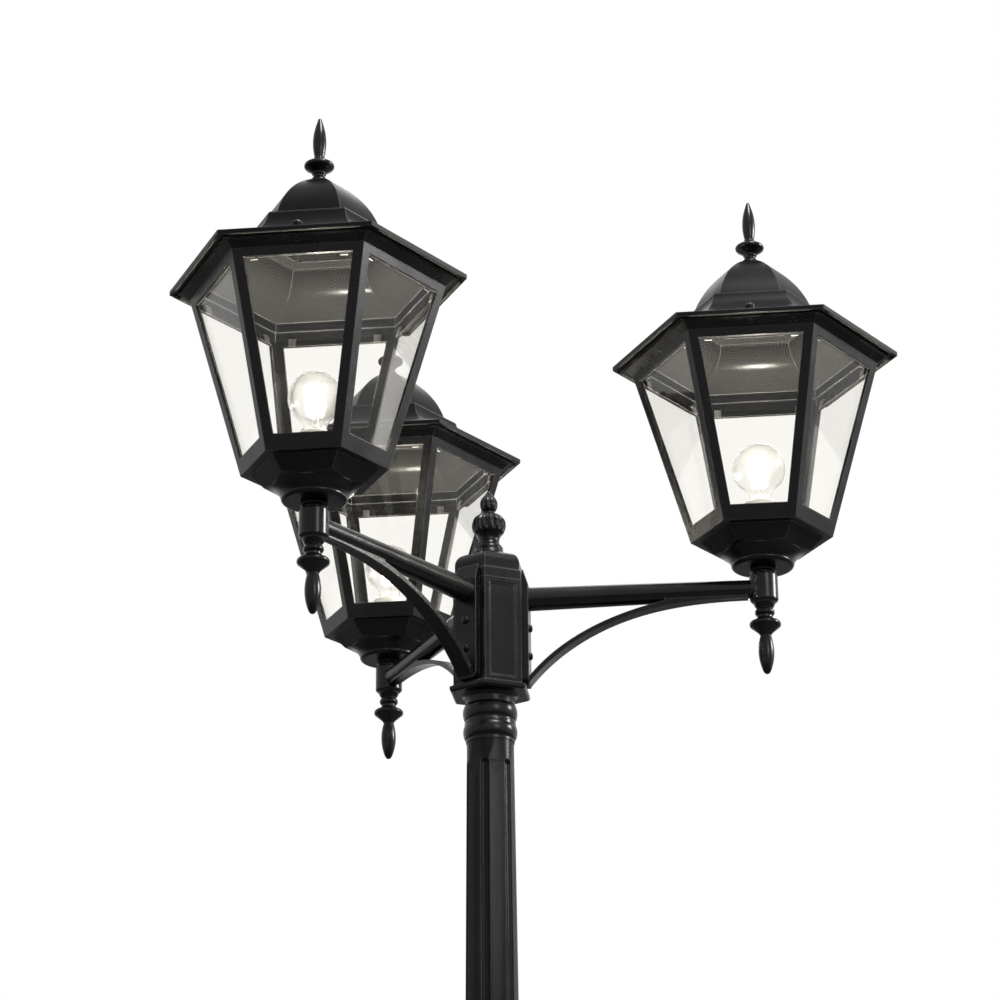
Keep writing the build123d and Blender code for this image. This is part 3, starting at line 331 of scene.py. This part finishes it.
@dataclass(frozen=True)
class BlackCoat(Finish):
    """Satin black powder coat over cast metal, lighter along its edges, partly by wear and partly by a
    painted edge highlight.
    """

    name: str
    dark: Colour = (0.0026, 0.0026, 0.0028)
    light: Colour = (0.0075, 0.0075, 0.0078)
    # Edge colour: partly wear, partly painted highlight where the rounded edges would catch the light.
    edge: Colour = (0.2, 0.2, 0.203)
    edge_radius: float = 1.3
    edge_share: float = 0.65
    even_wear_and_highlight: float = 0.4
    mottled_wear_and_highlight: float = 0.6
    mottle: float = 0.55
    roughness: float = 0.22
    under_roughness: float | None = None
    # Paler colour of down-facing faces: painted light, not the coat's own tone.
    painted_underside_light: Colour = (0.012, 0.0118, 0.0113)
    spread: float = 0.16
    specular: float = 0.15
    grain: float = 0.26
    grain_depth: float = 0.25
    grain_scale: float = 900.0
    streaks: float = 0.0
    stretch: tuple[float, float, float] = (1.0, 1.0, 1.0)
    turn: float = 0.0

    def make(self, edges: bpy.types.NodeTree, grain: bpy.types.NodeTree) -> bpy.types.Material:
        """Builds the material.

        Args:
            edges: The group that rounds edges.
            grain: The group of grain and streaks.

        Returns:
            The material.
        """
        material, web, shader = self.start(self.name)
        rim = web.add("Group", node_tree=edges)
        rim.inputs["Radius"].default_value = self.edge_radius * MM
        cast = web.add("Group", node_tree=grain)
        web.feed(self.place(web, self.turn), cast.inputs["Vector"])
        cast.inputs["Grain Scale"].default_value = self.grain_scale
        cast.inputs["Streak Stretch"].default_value = self.stretch
        tone = web.math("MULTIPLY_ADD", cast.outputs["Streak"], self.streaks,
                        web.math("MULTIPLY", cast.outputs["Mottle"], self.mottle), clamp=True)
        body = web.blend(tone, (*self.dark, 1.0), (*self.light, 1.0))
        rough = web.math("MULTIPLY_ADD", tone, self.spread, self.roughness)
        # Down-facing faces get smoother gloss and a paler colour, which is painted light.
        if self.under_roughness is not None:
            body, rough = self.underside(web, body, rough)
        # Painted edge highlight mixed with wear: the base colour is lightened along the rounded-edge mask.
        wear_and_highlight_mask = web.math("MULTIPLY", rim.outputs["Edge"],
                        web.math("MULTIPLY_ADD", cast.outputs["Mottle"], self.mottled_wear_and_highlight, self.even_wear_and_highlight))
        web.feed(web.blend(web.math("MULTIPLY", wear_and_highlight_mask, self.edge_share), body, (*self.edge, 1.0)),
                 shader.inputs["Base Color"])
        web.feed(rough, shader.inputs["Roughness"])
        bump = web.add("Bump")
        bump.inputs["Strength"].default_value = self.grain
        bump.inputs["Distance"].default_value = self.grain_depth * MM
        web.feed(cast.outputs["Height"], bump.inputs["Height"])
        web.feed(rim.outputs["Normal"], bump.inputs["Normal"])
        web.feed(bump.outputs["Normal"], shader.inputs["Normal"])
        shader.inputs["Specular IOR Level"].default_value = self.specular
        return material

    def underside(self, web: Web, body: bpy.types.NodeSocket,
                  rough: bpy.types.NodeSocket) -> tuple[bpy.types.NodeSocket, bpy.types.NodeSocket]:
        """Makes what faces down, such as the roof's inside, smoother than the top and paler, the paler tone
        being painted light.

        Args:
            web: The material's web.
            body: The colour's socket.
            rough: The roughness's socket.

        Returns:
            The new sockets of colour and roughness.
        """
        level, steep = -0.05, -0.2
        facing = web.add("SeparateXYZ")
        web.feed(web.add("NewGeometry").outputs["True Normal"], facing.inputs[0])
        below = web.ramp(facing.outputs["Z"], level, steep)
        drop = web.math("SUBTRACT", rough, self.under_roughness)
        smoothed = web.math("SUBTRACT", rough, web.math("MULTIPLY", below, drop))
        # The paler colour where the surface faces down is painted light; the lower roughness is real gloss.
        return web.blend(below, body, (*self.painted_underside_light, 1.0)), smoothed


@dataclass(frozen=True)
class ClearGlass(Finish):
    """Clear glass with a faint film of dust, which lets the lamps' light through."""

    name: str
    tint: Colour = (0.985, 0.976, 0.952)
    ior: float = 1.22
    frost: float = 0.0
    film: float = 0.035
    film_scale: float = 34.0
    dust_from: float = 0.45
    dust_full: float = 0.8
    dust_tint: float = 0.985
    # Glow of the glass itself is painted glare, brightest low in the bulb and fading upwards.
    glow: float = 0.0
    glow_low: float = 0.0
    glow_high: float = 1.0
    glow_fall: float = 1.6
    glow_colour: Colour = (1.0, 0.985, 0.94)

    def make(self) -> bpy.types.Material:
        """Builds the material.

        Returns:
            The material.
        """
        material, web, shader = self.start(self.name)
        output = web.tree.nodes["Material Output"]
        dust = web.ramp(web.noise(self.place(web), self.film_scale, 4.0), self.dust_from, self.dust_full)
        web.feed(web.math("MULTIPLY_ADD", dust, self.film, self.frost), shader.inputs["Roughness"])
        dusty = (*(share * self.dust_tint for share in self.tint), 1.0)
        web.feed(web.blend(dust, (*self.tint, 1.0), dusty), shader.inputs["Base Color"])
        shader.inputs["Transmission Weight"].default_value = 1.0
        shader.inputs["IOR"].default_value = self.ior
        # Painted glare: the envelope's glass glows itself, strongest near the cap and fading towards the
        # crown.
        if self.glow:
            split = web.add("SeparateXYZ")
            web.feed(self.place(web), split.inputs[0])
            glare = web.ramp(split.outputs["Z"], self.glow_high, self.glow_low)
            fading = web.math("POWER", glare, self.glow_fall)
            web.feed(web.math("MULTIPLY", fading, self.glow), shader.inputs["Emission Strength"])
            shader.inputs["Emission Color"].default_value = (*self.glow_colour, 1.0)
        path = web.add("LightPath")
        clear = web.add("BsdfTransparent")
        clear.inputs["Color"].default_value = (*self.tint, 1.0)
        mix = web.add("MixShader")
        web.feed(path.outputs["Is Shadow Ray"], mix.inputs[0])
        web.feed(shader.outputs["BSDF"], mix.inputs[1])
        web.feed(clear.outputs["BSDF"], mix.inputs[2])
        web.feed(mix.outputs["Shader"], output.inputs["Surface"])
        return material


@dataclass(frozen=True)
class PlainFinish(Finish):
    """A bare metal or glazed surface with mottled colour and fine scratches."""

    name: str
    dark: Colour
    light: Colour
    metallic: float
    roughness: float
    scale: float = 120.0
    spread: float = 0.12
    bump: float = 0.1
    bump_depth: float = 0.1
    bump_fineness: int = 8

    def make(self) -> bpy.types.Material:
        """Builds the material.

        Returns:
            The material.
        """
        material, web, shader = self.start(self.name)
        spot = self.place(web)
        tone = web.ramp(web.noise(spot, self.scale, 5.0), 0.3, 0.7)
        web.feed(web.blend(tone, (*self.dark, 1.0), (*self.light, 1.0)), shader.inputs["Base Color"])
        web.feed(web.math("MULTIPLY_ADD", tone, self.spread, self.roughness), shader.inputs["Roughness"])
        shader.inputs["Metallic"].default_value = self.metallic
        bump = web.add("Bump")
        bump.inputs["Strength"].default_value = self.bump
        bump.inputs["Distance"].default_value = self.bump_depth * MM
        web.feed(web.noise(spot, self.bump_fineness * self.scale, 2.0), bump.inputs["Height"])
        web.feed(bump.outputs["Normal"], shader.inputs["Normal"])
        return material


@dataclass(frozen=True)
class Glow(Finish):
    """Lit filament, white-hot with slightly cooler patches."""

    name: str
    colour: Colour = (1.0, 0.93, 0.82)
    cooler: float = 0.8
    strength: float = 260.0
    unlit: Colour = (0.9, 0.8, 0.5)
    patches: float = 420.0

    def make(self) -> bpy.types.Material:
        """Builds the material.

        Returns:
            The material.
        """
        material, web, shader = self.start(self.name)
        heat = web.ramp(web.noise(self.place(web), self.patches, 2.0), 0.2, 0.8, 0.75, 1.0)
        cool = (*(self.cooler * share for share in self.colour), 1.0)
        web.feed(web.blend(heat, cool, (*self.colour, 1.0)), shader.inputs["Emission Color"])
        shader.inputs["Emission Strength"].default_value = self.strength
        shader.inputs["Base Color"].default_value = (*self.unlit, 1.0)
        shader.inputs["Roughness"].default_value = 0.6
        return material


class Finishes:
    """All finishes of the post, made once."""

    def __init__(self) -> None:
        """Builds the shared groups and every material."""
        edges = make_edge_group()
        grain = make_grain_group()
        bulb_low, bulb_high = (corner.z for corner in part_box("head_1_bulb_glass"))
        glow_low, glow_high = bulb_low + 12 * MM, bulb_high - 8 * MM
        self.cast = BlackCoat("black_casting").make(edges, grain)
        self.hub = BlackCoat("black_hub", grain=0.6, grain_scale=430.0).make(edges, grain)
        self.roof = BlackCoat("black_roof", specular=0.055, roughness=0.32, under_roughness=0.17, grain=0.25,
                              grain_scale=420.0).make(edges, grain)
        self.turned = BlackCoat("black_turning", grain=0.12, roughness=0.2, specular=0.18,
                                edge_radius=0.8).make(edges, grain)
        self.post = BlackCoat("black_post", streaks=0.6, stretch=(1.0, 1.0, 0.035), grain=0.16,
                              specular=0.09).make(edges, grain)
        self.tubes = {
            n: BlackCoat(f"black_tube_{n}", streaks=0.6, stretch=(0.035, 1.0, 1.0), grain=0.16,
                         specular=0.22, roughness=0.18, turn=ARM_TURNS[n]).make(edges, grain)
            for n in HEADS
        }
        self.pane = ClearGlass("pane_glass").make()
        # The envelope's glow is painted glare in the glass, between glow_low and glow_high.
        self.envelope = ClearGlass("bulb_glass", tint=(0.86, 0.86, 0.85), ior=1.46, frost=0.12, film=0.02,
                                   glow=0.07, glow_low=glow_low, glow_high=glow_high).make()
        self.mount = ClearGlass("mount_glass", tint=(0.985, 0.985, 0.98), ior=1.46, film=0.0).make()
        self.zinc = PlainFinish("zinc_plate", (0.34, 0.33, 0.31), (0.55, 0.54, 0.51), 1.0, 0.34).make()
        self.porcelain = PlainFinish("glazed_porcelain", (0.74, 0.73, 0.69), (0.82, 0.81, 0.77), 0.0,
                                     0.16).make()
        self.cap = PlainFinish("nickel_cap", (0.5, 0.48, 0.44), (0.68, 0.66, 0.61), 1.0, 0.24).make()
        self.glow = Glow("lit_filament").make()


# ---------------------------------------------------------------- modelling helpers
def activate(piece: bpy.types.Object) -> None:
    """Selects one object alone and makes it active.

    Args:
        piece: The object.
    """
    bpy.ops.object.select_all(action="DESELECT")
    piece.select_set(True)
    bpy.context.view_layer.objects.active = piece


def settle(piece: bpy.types.Object, angle: float = 35.0) -> None:
    """Applies an object's place to its mesh and smooths it.

    Args:
        piece: The object.
        angle: Edges that turn by less than this many degrees are smoothed.
    """
    activate(piece)
    bpy.ops.object.transform_apply(location=True, rotation=True, scale=True)
    bpy.ops.object.shade_smooth_by_angle(angle=radians(angle))


def turn_outline(name: str, outline: Outline, steps: int) -> bpy.types.Object:
    """Spins an outline into a turned piece about the Z axis.

    Args:
        name: The piece's name.
        outline: Radius and height of its points in millimetres, from its axis and back to it.
        steps: Sides of the piece before it is smoothed.

    Returns:
        The piece, standing on the origin's axis.
    """
    mesh = bpy.data.meshes.new(name)
    points = [(r * MM, 0.0, z * MM) for r, z in outline]
    mesh.from_pydata(points, [(i, i + 1) for i in range(len(points) - 1)], [])
    piece = bpy.data.objects.new(name, mesh)
    bpy.context.scene.collection.objects.link(piece)
    activate(piece)
    bpy.ops.object.mode_set(mode="EDIT")
    bpy.ops.mesh.select_all(action="SELECT")
    bpy.ops.mesh.spin(steps=steps, angle=2 * pi, center=(0, 0, 0), axis=(0, 0, 1))
    bpy.ops.mesh.select_all(action="SELECT")
    bpy.ops.mesh.remove_doubles(threshold=0.01 * MM)
    bpy.ops.mesh.normals_make_consistent(inside=False)
    bpy.ops.object.mode_set(mode="OBJECT")
    smooth = piece.modifiers.new("rounding", "SUBSURF")
    smooth.levels = smooth.render_levels = 1
    bpy.ops.object.modifier_apply(modifier=smooth.name)
    return piece


def dress(piece: bpy.types.Object, finish: bpy.types.Material, body: str) -> None:
    """Gives a new piece its finish and body, and reports it.

    Args:
        piece: The finished piece.
        finish: Its material.
        body: The body it rides on.
    """
    piece.data.materials.clear()
    piece.data.materials.append(finish)
    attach(piece, body)
    LOG.info("%s: %d faces on %s", piece.name, len(piece.data.polygons), body)


# ---------------------------------------------------------------- the post's pieces
@dataclass
class HubFinial:
    """Finial on the hub's cap: moulded foot, gadrooned ball and fluted bud."""

    ball_lobes: int = 14
    bud_lobes: int = 7
    lobe_depth: float = 0.16
    bud_depth: float = 0.13
    ball_low: float = 31.0
    ball_high: float = 53.0
    bud_low: float = 58.0
    bud_high: float = 77.0
    fade_in: float = 6.0
    fade_out: float = 5.0
    smooth_below: float = 50.0
    steps: int = 168

    def outline(self) -> Outline:
        """Returns radius and height of the finial's points above the hub's cap."""
        return [
            (0.0, -12.0), (5.0, -12.0), (5.0, -0.2), (17.2, 0.0), (18.0, 1.2), (18.1, 4.2), (17.2, 5.8),
            (16.2, 6.4), (16.2, 9.2), (16.0, 11.6), (14.6, 13.8), (12.8, 15.2), (11.8, 18.2), (11.8, 22.0),
            (12.9, 25.2), (13.8, 26.4), (14.0, 27.6), (15.6, 28.8), (17.8, 31.2), (19.4, 35.5), (19.8, 40.5),
            (18.7, 45.5), (15.6, 49.6), (11.0, 52.2), (8.0, 53.2), (6.4, 54.2), (6.3, 55.6), (7.4, 56.8),
            (8.6, 58.0), (9.9, 61.0), (10.5, 64.6), (10.0, 68.6), (8.2, 72.4), (5.8, 75.2), (4.2, 77.0),
            (3.3, 78.6), (2.2, 80.6), (0.0, 81.4),
        ]

    def lobed(self, height: float, angle: float) -> float:
        """Works out how far the lobes draw a point in.

        Args:
            height: The point's height above the seat, in millimetres.
            angle: Its angle round the axis.

        Returns:
            The share of its plain radius that the point keeps.
        """
        for low, high, lobes, depth in (
            (self.ball_low, self.ball_high, self.ball_lobes, self.lobe_depth),
            (self.bud_low, self.bud_high, self.bud_lobes, self.bud_depth),
        ):
            if low < height < high:
                share = (height - low) / (high - low)
                swell = min(1.0, self.fade_in * share) * min(1.0, self.fade_out * (1.0 - share))
                return 1.0 - depth * swell * (1.0 - abs(cos(lobes * angle / 2)))
        return 1.0

    def build(self, finish: bpy.types.Material) -> bpy.types.Object:
        """Turns the finial, cuts its lobes and stands it on the hub.

        Args:
            finish: Its material.

        Returns:
            The finished piece.
        """
        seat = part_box("hub_cap")[1].z
        piece = turn_outline("hub_finial_cast", self.outline(), self.steps)
        for vertex in piece.data.vertices:
            keep = self.lobed(vertex.co.z / MM, atan2(vertex.co.y, vertex.co.x))
            vertex.co.x *= keep
            vertex.co.y *= keep
        piece.location.z = seat
        settle(piece, self.smooth_below)
        dress(piece, finish, "post")
        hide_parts("hub_finial")
        return piece


@dataclass
class LitBulb:
    """What is inside a bulb: a glass mount and a ring of lit filaments, with the light they give."""

    filaments: int = 8
    ring: float = 8.0
    spread: float = 2.2
    length: float = 34.0
    thickness: float = 1.15
    end_bevel: float = 0.5
    stick_sides: int = 12
    lift: float = 24.0
    mount_sides: int = 32
    watts: float = 21.0
    lamp_radius: float = 11.0
    lamp_lift: float = 40.0
    lamp_spread: float = 150.0
    lamp_blend: float = 0.4
    lamp_colour: Colour = (1.0, 0.965, 0.89)

    def mount(self, head: int, foot: Vector, finish: bpy.types.Material) -> None:
        """Builds the glass mount that stands in the cap.

        Args:
            head: Number of the lantern.
            foot: Centre of the cap's top.
            finish: Its material.
        """
        outline = [
            (0.0, 0.2), (9.0, 0.2), (8.2, 2.0), (4.6, 6.0), (3.4, 12.0), (3.2, 22.0), (4.2, 24.5),
            (3.4, 27.0), (1.4, 29.0), (1.2, 56.0), (2.2, 58.5), (1.2, 60.5), (0.0, 61.0),
        ]
        piece = turn_outline(f"head_{head}_bulb_mount", outline, self.mount_sides)
        piece.location = foot
        settle(piece)
        dress(piece, finish, f"bulb_{head}")

    def glow(self, head: int, foot: Vector, finish: bpy.types.Material) -> None:
        """Builds the ring of filaments as one piece.

        Args:
            head: Number of the lantern.
            foot: Centre of the cap's top.
            finish: Their material.
        """
        sticks = []
        for number in range(self.filaments):
            angle = 2 * pi * number / self.filaments
            low = Vector((self.ring * cos(angle), self.ring * sin(angle), self.lift)) * MM
            lean = angle + pi / self.filaments
            reach = self.ring + self.spread
            high = Vector((reach * cos(lean), reach * sin(lean), self.lift + self.length)) * MM
            sticks.append(self.stick(head, number, foot + low, foot + high))
        bpy.ops.object.select_all(action="DESELECT")
        for stick in sticks:
            stick.select_set(True)
        bpy.context.view_layer.objects.active = sticks[0]
        bpy.ops.object.join()
        ring = bpy.context.view_layer.objects.active
        ring.name = f"head_{head}_bulb_filaments"
        settle(ring)
        dress(ring, finish, f"bulb_{head}")

    def stick(self, head: int, number: int, low: Vector, high: Vector) -> bpy.types.Object:
        """Builds one filament between two points, with narrowed ends.

        Args:
            head: Number of the lantern.
            number: Number of the filament.
            low: Its lower end.
            high: Its upper end.

        Returns:
            The filament.
        """
        bpy.ops.object.select_all(action="DESELECT")
        run = high - low
        bpy.ops.mesh.primitive_cylinder_add(
            vertices=self.stick_sides, radius=self.thickness * MM, depth=run.length,
            location=(low + high) / 2, rotation=run.to_track_quat("Z", "Y").to_euler(),
        )
        piece = bpy.context.active_object
        piece.name = f"head_{head}_filament_{number}"
        ends = piece.modifiers.new("ends", "BEVEL")
        ends.width = self.end_bevel * MM
        ends.segments = 2
        bpy.ops.object.modifier_apply(modifier=ends.name)
        return piece

    def lamp(self, head: int, foot: Vector) -> None:
        """Adds the filaments' light up into the roof, which they are too thin to give evenly.

        Args:
            head: Number of the lantern.
            foot: Centre of the cap's top.
        """
        data = bpy.data.lights.new(f"bulb_light_{head}", "SPOT")
        data.energy = self.watts
        data.color = self.lamp_colour
        data.shadow_soft_size = self.lamp_radius * MM
        data.spot_size = radians(self.lamp_spread)
        data.spot_blend = self.lamp_blend
        lamp = bpy.data.objects.new(f"bulb_light_{head}", data)
        bpy.context.scene.collection.objects.link(lamp)
        lamp.location = foot + Vector((0.0, 0.0, self.lamp_lift * MM))
        lamp.rotation_euler = (pi, 0.0, 0.0)
        lamp.visible_camera = False
        lamp.visible_transmission = False

    def build(self, head: int, finishes: Finishes) -> None:
        """Builds the inside of one bulb and its light.

        Args:
            head: Number of the lantern.
            finishes: The made materials.
        """
        low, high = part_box(f"head_{head}_bulb_cap")
        foot = Vector(((low.x + high.x) / 2, (low.y + high.y) / 2, high.z))
        self.mount(head, foot, finishes.mount)
        self.glow(head, foot, finishes.glow)
        self.lamp(head, foot)


class PackedNodes:
    """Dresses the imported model's own nodes."""

    TURNED = ("neck", "drop_finial", "roof_finial", "socket")
    FITTED = {"panes": "pane", "bulb_glass": "envelope", "stem": "zinc", "lampholder": "porcelain",
              "bulb_cap": "cap", "roof": "roof", "roof_fasteners": "turned"}
    PLAIN = {"pane_clips": "zinc", "hub_body": "hub", "shaft": "post", "root_tube": "post",
             "shaft_collar": "turned", "pedestal_bell": "turned", "hub_finial": "turned"}

    def finish_of(self, node: str, finishes: Finishes) -> bpy.types.Material:
        """Chooses a node's finish by its name.

        Args:
            node: The node's name.
            finishes: The made materials.

        Returns:
            The material.
        """
        if node.startswith("head_"):
            kind = node.split("_", 2)[2]
            if kind in self.TURNED:
                return finishes.turned
            return getattr(finishes, self.FITTED.get(kind, "cast"))
        if node.startswith("arm_") and node.endswith("_tube"):
            return finishes.tubes[int(node.split("_")[1])]
        return getattr(finishes, self.PLAIN.get(node, "cast"))

    def dress(self, nodes: dict[str, bpy.types.Object], finishes: Finishes) -> None:
        """Puts a finish in every node's material slots.

        Args:
            nodes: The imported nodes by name.
            finishes: The made materials.
        """
        for name, node in nodes.items():
            finish = self.finish_of(name, finishes)
            if not node.material_slots:
                node.data.materials.append(finish)
            for slot in node.material_slots:
                slot.material = finish
            LOG.info("%s: %s", name, finish.name)


# ---------------------------------------------------------------- studio
@dataclass(frozen=True)
class StudioLamp:
    """One soft square lamp: its name, place, side and power."""

    name: str
    at: Place
    size: float
    watts: float


@dataclass
class Studio:
    """Pale floor, white surroundings, soft lamps and the photograph's camera."""

    camera_at: Place = (0.372, -3.220, 0.916)
    yaw: float = -6.36
    pitch: float = 21.35
    roll: float = -0.49
    focal_px: float = 3034.0
    sensor_mm: float = 36.0
    nearest: float = 0.05
    farthest: float = 100.0
    room_light: float = 0.55
    floor_side: float = 24.0
    floor_drop: float = 0.0005
    floor_pale: tuple[Colour, Colour] = ((0.80, 0.80, 0.79), (0.84, 0.84, 0.83))
    floor_grey: tuple[Colour, Colour] = ((0.20, 0.20, 0.20), (0.24, 0.24, 0.24))
    floor_patches: float = 1.5
    floor_roughness: float = 0.85
    floor_specular: float = 0.2
    lamps_aim: Place = (0.0, 0.0, 2.1)
    lamps: tuple[StudioLamp, ...] = (
        StudioLamp("key", (1.0, -1.2, 4.85), 0.9, 150.0),
        StudioLamp("side", (3.6, 0.5, 3.45), 0.8, 170.0),
        StudioLamp("front", (2.2, -3.2, 3.2), 1.2, 35.0),
        StudioLamp("back", (-0.3, 2.4, 5.2), 1.8, 22.0),
    )

    def camera(self) -> None:
        """Makes the camera where the photograph was taken from."""
        data = bpy.data.cameras.new("camera")
        data.sensor_width = data.sensor_height = self.sensor_mm
        data.lens = self.focal_px * self.sensor_mm / FRAME_PX
        data.clip_start, data.clip_end = self.nearest, self.farthest
        camera = bpy.data.objects.new("camera", data)
        bpy.context.scene.collection.objects.link(camera)
        look = Euler((radians(90 + self.pitch), 0.0, -radians(self.yaw)), "XYZ").to_matrix()
        tilt = Euler((0.0, 0.0, radians(self.roll)), "XYZ").to_matrix()
        camera.matrix_world = (look @ tilt).to_4x4()
        camera.location = self.camera_at
        bpy.context.scene.camera = camera

    def world(self) -> None:
        """Makes the white surroundings, seen at full white and lighting more softly."""
        world = bpy.data.worlds.new("surroundings")
        world.use_nodes = True
        bpy.context.scene.world = world
        web = Web(world.node_tree)
        world.node_tree.nodes.clear()
        light = web.add("Background")
        path = web.add("LightPath")
        bent = web.math("MAXIMUM", path.outputs["Is Glossy Ray"], path.outputs["Is Transmission Ray"])
        seen = web.math("MAXIMUM", path.outputs["Is Camera Ray"], bent)
        web.feed(web.ramp(seen, 0.0, 1.0, self.room_light, 1.0), light.inputs["Strength"])
        light.inputs["Color"].default_value = WHITE
        output = web.add("OutputWorld")
        web.feed(light.outputs["Background"], output.inputs["Surface"])

    def floor(self) -> None:
        """Lays the floor, pale to the camera alone and grey in gloss, through glass and in bounced light."""
        bpy.ops.object.select_all(action="DESELECT")
        bpy.ops.mesh.primitive_plane_add(size=self.floor_side, location=(0, 0, -self.floor_drop))
        floor = bpy.context.active_object
        floor.name = "floor"
        material, web, shader = Finish().start("pale_floor")
        spot = web.add("TexCoord")
        tone = web.noise(spot.outputs["Object"], self.floor_patches)
        pale = web.blend(tone, *((*colour, 1.0) for colour in self.floor_pale))
        grey = web.blend(tone, *((*colour, 1.0) for colour in self.floor_grey))
        seen = web.add("LightPath").outputs["Is Camera Ray"]
        web.feed(web.blend(seen, grey, pale), shader.inputs["Base Color"])
        shader.inputs["Roughness"].default_value = self.floor_roughness
        shader.inputs["Specular IOR Level"].default_value = self.floor_specular
        floor.data.materials.append(material)
        settle(floor)

    def hang(self, chosen: StudioLamp) -> None:
        """Hangs a lamp that looks at the hub.

        Args:
            chosen: The lamp.
        """
        data = bpy.data.lights.new(chosen.name, "AREA")
        data.shape = "SQUARE"
        data.size = chosen.size
        data.energy = chosen.watts
        lamp = bpy.data.objects.new(chosen.name, data)
        bpy.context.scene.collection.objects.link(lamp)
        lamp.location = chosen.at
        aim = Vector(self.lamps_aim) - Vector(chosen.at)
        lamp.rotation_euler = aim.to_track_quat("-Z", "Y").to_euler()

    def build(self) -> None:
        """Sets up the whole studio."""
        bpy.context.scene.view_settings.view_transform = "Standard"
        self.camera()
        self.world()
        self.floor()
        for chosen in self.lamps:
            self.hang(chosen)


def main() -> None:
    """Loads the frame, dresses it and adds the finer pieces."""
    logging.basicConfig(level=logging.INFO, format="%(name)s: %(message)s")
    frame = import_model()
    Studio().build()
    finishes = Finishes()
    PackedNodes().dress(frame["nodes"], finishes)
    HubFinial().build(finishes.turned)
    for head in HEADS:
        LitBulb().build(head, finishes)


if __name__ == "__main__":
    main()
